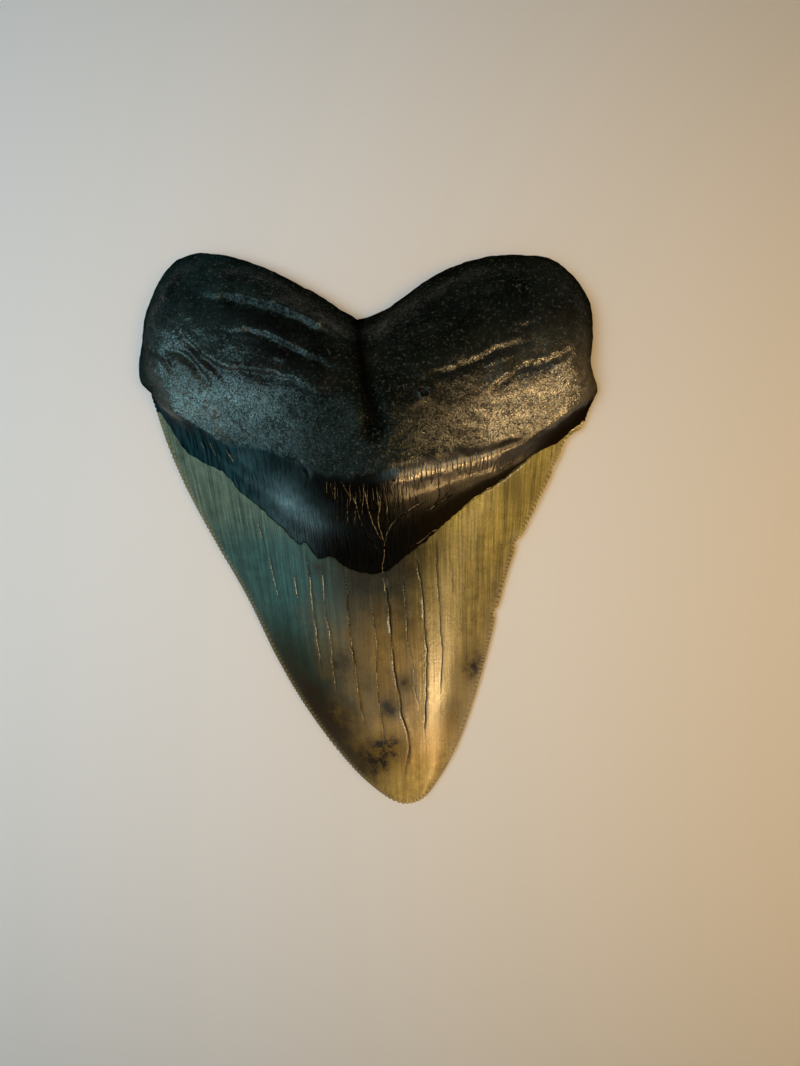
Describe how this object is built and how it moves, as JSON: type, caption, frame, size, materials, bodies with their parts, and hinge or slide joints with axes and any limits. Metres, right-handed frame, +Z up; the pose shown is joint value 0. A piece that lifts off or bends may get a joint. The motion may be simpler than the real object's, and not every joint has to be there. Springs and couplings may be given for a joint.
{
  "type": "megalodon tooth",
  "caption": "Fossil shark tooth with a broad triangular serrated crown, a dark chevron band below the root and a thick forked root, lying on its flatter outer face.",
  "frame": {"origin": "on the table, under the middle of the tooth's bounding box as it lies on its labial (outer) face", "axes": "+Y from the crown's tip to the root, +Z up out of the domed lingual (inner) face, +X to the right when that face is seen from above with the root at the top"},
  "size_m": [0.1156, 0.1404, 0.0273],
  "materials": {
    "fossil_tooth": "satin"
  },
  "bodies": {
    "root": {"megalodon_tooth": "fossil_tooth"}
  },
  "joints": []
}
